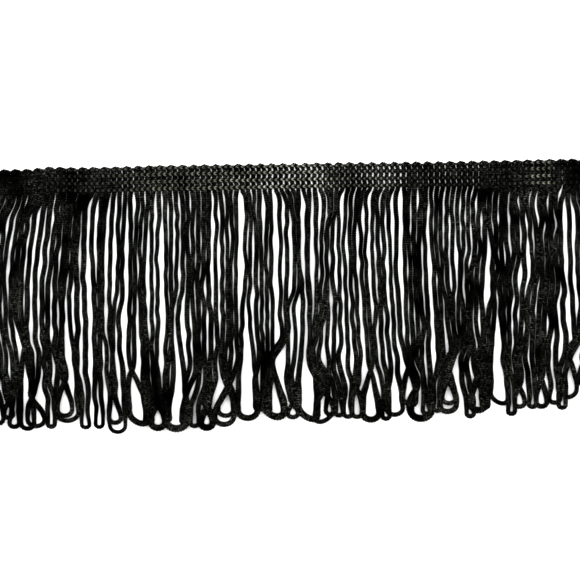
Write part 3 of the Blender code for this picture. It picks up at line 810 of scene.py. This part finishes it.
def yarn_finish(name, colours, roughness, shine, patchy, ticked):
    """Black rayon: dark between the stitches, painted highlights on their crests broken into
    patches and lit ticks, and fine fibres.
    """
    dark, light = ((*colour, 1.0) for colour in colours)
    finish = Finish(name)
    place = finish.node("ShaderNodeTexCoord", {}, {}, "Object")
    # The "crest" attribute is painted highlight: the lit crests of the knitted courses, or the
    # painted glints of the chain stitches.
    crest = finish.node("ShaderNodeAttribute", {"attribute_name": "crest"}, {}, "Fac")
    fibres = finish.node(
        "ShaderNodeTexNoise", {},
        {"Vector": place, "Scale": FIBRE_SCALE, "Detail": 3.0, "Roughness": 0.6})
    patches = finish.node(
        "ShaderNodeTexNoise", {}, {"Vector": place, "Scale": PATCH_SCALE, "Detail": 2.0})
    tick_noise = finish.node(
        "ShaderNodeTexNoise", {}, {"Vector": place, "Scale": TICK_SCALE, "Detail": 1.0})
    ticks = finish.node(
        "ShaderNodeMapRange", {},
        {"Value": tick_noise, "From Min": TICK_LOW, "From Max": TICK_HIGH,
         "To Min": 1.0 - ticked, "To Max": 1.0})
    # Painted highlight: the crest attribute, broken into patches and lit ticks by noise, mixes
    # the light colour into the black.
    glint_gate = GLINT_PATCH_MEAN + patchy * (patches - NOISE_MEAN)
    lit = crest * ticks * (FIBRE_LEAST + FIBRE_GAIN * fibres) * glint_gate
    colour = finish.node(
        "ShaderNodeMix", {"data_type": "RGBA"},
        {"Factor": lit + FIBRE_DEEP * fibres, "A": dark, "B": light}, 2)
    bump = finish.node(
        "ShaderNodeBump", {},
        {"Strength": FIBRE_BUMP, "Distance": FIBRE_BUMP_HEIGHT, "Height": fibres})
    finish.feed("Base Color", colour)
    finish.feed("Roughness", roughness + FIBRE_ROUGH * (fibres - NOISE_MEAN))
    finish.feed("Normal", bump)
    finish.set(Metallic=0.0, Specular_IOR_Level=shine)
    return finish.material


class FringeYarn(bpy.types.PropertyGroup):
    """Sizes and colours of the looped yarn."""

    flat: bpy.props.FloatProperty(
        name="Yarn width", description="Width of the free chainette where it lies flat",
        default=0.00196, unit="LENGTH")
    thick: bpy.props.FloatProperty(
        name="Yarn thickness", description="Thickness of the free chainette",
        default=0.00172, unit="LENGTH")
    held: bpy.props.FloatProperty(
        name="Held share", description="Thickness of the yarn inside the heading",
        default=0.93, subtype="FACTOR")
    uneven: bpy.props.FloatProperty(
        name="Unevenness", description="How much the yarn's width wanders",
        default=0.07, subtype="FACTOR")
    slack: bpy.props.FloatProperty(
        name="Slack", description="How much fuller the yarn is at the bends",
        default=0.3, subtype="FACTOR")
    drawn: bpy.props.FloatProperty(
        name="Drawn", description="How much finer the yarn is where its legs hang straight",
        default=0.08, subtype="FACTOR")
    course: bpy.props.FloatProperty(
        name="Course", description="Length of one knitted course of the yarn",
        default=0.0009, unit="LENGTH")
    dark: bpy.props.FloatVectorProperty(
        name="Dark", description="Colour in the depth of the yarn",
        default=(0.0002, 0.0002, 0.0002), subtype="COLOR")
    # Light is the colour of the painted highlights on the crests of the stitches, not of the
    # yarn itself.
    light: bpy.props.FloatVectorProperty(
        name="Light", description="Colour of the fibres that stand up",
        default=(0.14, 0.145, 0.125), subtype="COLOR")


class FringeHeading(bpy.types.PropertyGroup):
    """Sizes and colours of the chain rows."""

    thread: bpy.props.FloatProperty(
        name="Thread", description="Thickness of the chain thread",
        default=0.0005, unit="LENGTH")
    open: bpy.props.FloatProperty(
        name="Stitch width", description="Width of a chain stitch across the row",
        default=0.00105, unit="LENGTH")
    net: bpy.props.FloatProperty(
        name="Net opening", description="How much narrower the yarn is in the open net",
        default=0.5, subtype="FACTOR")
    dark: bpy.props.FloatVectorProperty(
        name="Dark", description="Colour in the depth of the thread",
        default=(0.0005, 0.0005, 0.0004), subtype="COLOR")
    # Light is the colour of the painted glints on the chain stitches.
    light: bpy.props.FloatVectorProperty(
        name="Light", description="Colour of the thread's lit fibres",
        default=(0.6, 0.6, 0.5), subtype="COLOR")


class FringeStage(bpy.types.PropertyGroup):
    """Floor, lights and camera."""

    distance: bpy.props.FloatProperty(
        name="Camera height", description="Camera's height over the floor",
        default=1.3, unit="LENGTH")
    frame_width: bpy.props.FloatProperty(
        name="Frame width", description="Width of floor in view",
        default=CHART_SIZE * CHART_STEP, unit="LENGTH")
    gamma: bpy.props.FloatProperty(
        name="Gamma", description="Below 1 deepens the blacks, as a hard exposure does",
        default=0.8, subtype="FACTOR")
    floor: bpy.props.FloatVectorProperty(
        name="Floor", description="Colour of the floor",
        default=(0.9, 0.9, 0.9), subtype="COLOR")


class FRINGE_OT_loops(bpy.types.Operator):
    """Knit the chainette and lay its loops"""

    bl_idname = "fringe.loops"
    bl_label = "Looped yarn"

    def execute(self, context):
        sizes = context.scene.fringe_yarn
        net = context.scene.fringe_heading.net
        random = np.random.default_rng(SEED)
        settled = np.array([settle(depth) for depth in LEVELS])
        plans = [loop_plan(number, settled, sizes, random) for number in range(LOOPS)]
        turns = [turned(len(plan), held, random) for plan, held in plans]
        heights = lay_loops(plans, turns, sizes)
        unit = knit_unit(sizes.course, sizes.flat, sizes.thick)
        pieces = []
        for number, (plan, held) in enumerate(plans):
            bend = in_bend(len(plan), THICK_BENDS.get(number, 1.0))
            widths = strand_widths(number, plan, held, sizes, net, random)
            lifted = heights[number] + 0.5 * sizes.thick * np.maximum(0.0, bend - 1.0)
            points = np.column_stack([plan, lifted])
            length = np.linalg.norm(np.diff(points, axis=0), axis=1).sum()
            guide = guide_curve(points, widths * bend, turns[number])
            pieces.append(knit_along(unit, guide, length, sizes.course, sizes.flat))
            bpy.data.objects.remove(guide)
        bpy.data.objects.remove(unit)

        material = yarn_finish("loop_yarn", (sizes.dark, sizes.light), roughness=0.5,
                               shine=0.0, patchy=4.5, ticked=1.0)
        for first in range(0, LOOPS, LOOPS_IN_PIECE):
            group = pieces[first:first + LOOPS_IN_PIECE]
            piece = join(group, "loops_%d" % (first // LOOPS_IN_PIECE + 1))
            close_ends(piece)
            dress(piece, material)
            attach(piece, "root")
            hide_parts("loop_fringe")
        return {"FINISHED"}


class FRINGE_OT_heading(bpy.types.Operator):
    """Work the four chain rows over the yarn"""

    bl_idname = "fringe.heading"
    bl_label = "Chain rows"

    def execute(self, context):
        sizes = context.scene.fringe_heading
        yarn = context.scene.fringe_yarn
        random = np.random.default_rng(SEED)
        top = HEADING_YARN_Z + 0.5 * yarn.thick * yarn.held + STITCH_OVER * sizes.thread
        first = HEADING_MIDDLE - (LOOPS - 0.5) * LEG_PITCH
        rows = []
        for number, depth in enumerate(CHAIN_ROWS):
            row = self.stitch(sizes, top)
            repeat(row, LEG_PITCH, LEG_COUNT)
            apply_modifiers(row)
            self.follow(row, first, 1.0 if number else FIRST_ROW_SHARE, top, random)
            row.location = (first, EDGE_Y - depth, 0.0)
            take_place(row)
            rows.append(row)

        piece = join(rows, "chain_rows")
        dress(piece, yarn_finish("heading_thread", (sizes.dark, sizes.light), roughness=0.45,
                                 shine=0.01, patchy=1.5, ticked=0.3))
        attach(piece, "root")
        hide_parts("heading")
        return {"FINISHED"}

    def stitch(self, sizes, top):
        """One chain stitch over a leg of yarn, with the bar behind it."""
        low = 0.5 * sizes.thread
        curve = bpy.data.curves.new("stitch", "CURVE")
        curve.dimensions = "3D"
        curve.bevel_depth = 0.5 * sizes.thread
        curve.bevel_resolution = 0
        curve.use_fill_caps = True
        for course, closed in ((STITCH_RING, True), (STITCH_BAR, False)):
            spline = curve.splines.new("POLY")
            spline.points.add(len(course) - 1)
            spline.use_cyclic_u = closed
            for point, (along, across, up) in zip(spline.points, course):
                point.co = (along * LEG_PITCH, 0.5 * across * sizes.open,
                            low + (top - low) * up, 1.0)
        stitch = bpy.data.objects.new("stitch", curve)
        bpy.context.collection.objects.link(stitch)
        make_active(stitch)
        bpy.ops.object.convert(target="MESH")
        return bpy.context.active_object

    def follow(self, row, first, share, top, random):
        """Spread and sag one chain row as the heading does along its length, and store its
        painted glints, fainter where the heading is less lit.
        """
        points = read_points(row.data)
        across = points[:, 0] + first
        number = np.arange(len(points)) // (len(points) // LEG_COUNT)
        # Strength of the painted glint on each stitch: it changes along the heading and at
        # random from stitch to stitch.
        glint = heading_run(across, GLINT) * random.uniform(*GLINT_RANGE, LEG_COUNT)[number]
        spread = heading_run(across, SPREAD)
        long = rise(spread, LONG_FROM, LONG_REACH)
        along = points[:, 0] / LEG_PITCH - number
        from_lit = abs(along - LIT_PLACE - LIT_PLACE_LONG * long)
        lit = fade(from_lit, LIT_HALF + LIT_HALF_LONG * long, LIT_REACH)
        lit = lit * rise(points[:, 2] / top, LIT_UP, LIT_UP_REACH) * glint
        # The "crest" attribute holds the painted glint, for the thread's material.
        row.data.attributes.new("crest", "FLOAT", "POINT").data.foreach_set("value", lit)
        points[:, 0] += random.normal(0.0, STITCH_SHIFT, LEG_COUNT)[number]
        points[:, 1] *= spread * share * random.normal(1.0, STITCH_UNEVEN, LEG_COUNT)[number]
        points[:, 1] += random.normal(0.0, STITCH_RAISE, LEG_COUNT)[number]
        points[:, 1] -= heading_run(across, SAG) * CHART_STEP
        row.data.vertices.foreach_set("co", points.ravel())


class FRINGE_OT_stage(bpy.types.Operator):
    """Set the floor, the lights and the camera"""

    bl_idname = "fringe.stage"
    bl_label = "Stage"

    def execute(self, context):
        sizes = context.scene.fringe_stage
        deselect()
        bpy.ops.mesh.primitive_plane_add(size=FLOOR_SIZE, location=(0.0, 0.0, 0.0))
        floor = context.active_object
        floor.name = "floor"
        paper = Finish("floor_paper")
        paper.set(Base_Color=(*sizes.floor, 1.0), Roughness=0.9)
        floor.data.materials.append(paper.material)

        middle_x, middle_y = to_metres(*unroll(0.5 * CHART_SIZE, 0.5 * CHART_SIZE))
        bpy.ops.object.camera_add(location=(middle_x, middle_y, sizes.distance),
                                  rotation=(0.0, 0.0, -math.atan(CHART_ROLL)))
        camera = context.active_object
        camera.data.angle = 2.0 * math.atan(0.5 * sizes.frame_width / sizes.distance)
        context.scene.camera = camera

        for name, place, turn, size, power in SOFTBOXES:
            bpy.ops.object.light_add(type="AREA", location=place, rotation=turn)
            lamp = context.active_object
            lamp.name = name
            lamp.data.size = size
            lamp.data.energy = power
        world = bpy.data.worlds.new("studio")
        world.use_nodes = True
        room = world.node_tree.nodes["Background"]
        room.inputs["Color"].default_value = (1.0, 1.0, 1.0, 1.0)
        room.inputs["Strength"].default_value = ROOM_LIGHT
        context.scene.world = world
        context.scene.view_settings.view_transform = "Standard"
        context.scene.view_settings.gamma = sizes.gamma
        return {"FINISHED"}


class FRINGE_PT_panel(bpy.types.Panel):
    """Buttons for the fringe's pieces"""

    bl_idname = "FRINGE_PT_panel"
    bl_label = "Looped Chainette Fringe"
    bl_space_type = "VIEW_3D"
    bl_region_type = "UI"
    bl_category = "Fringe"

    def draw(self, context):
        for name, group, operator in GROUPS:
            box = self.layout.box()
            for size in group.__annotations__:
                box.prop(getattr(context.scene, name), size)
            box.operator(operator)


CLASSES = (FringeYarn, FringeHeading, FringeStage, FRINGE_OT_loops, FRINGE_OT_heading,
           FRINGE_OT_stage, FRINGE_PT_panel)
GROUPS = (
    # name in the scene, its sizes and the operator that uses them
    ("fringe_yarn", FringeYarn, "fringe.loops"),
    ("fringe_heading", FringeHeading, "fringe.heading"),
    ("fringe_stage", FringeStage, "fringe.stage"),
)


def register():
    for item in CLASSES:
        bpy.utils.register_class(item)
    for name, group, _ in GROUPS:
        setattr(bpy.types.Scene, name, bpy.props.PointerProperty(type=group))


def unregister():
    for name, _, _ in GROUPS:
        delattr(bpy.types.Scene, name)
    for item in reversed(CLASSES):
        bpy.utils.unregister_class(item)


def main():
    register()
    bpy.ops.fringe.loops()
    bpy.ops.fringe.heading()
    bpy.ops.fringe.stage()


if __name__ == "__main__":
    main()
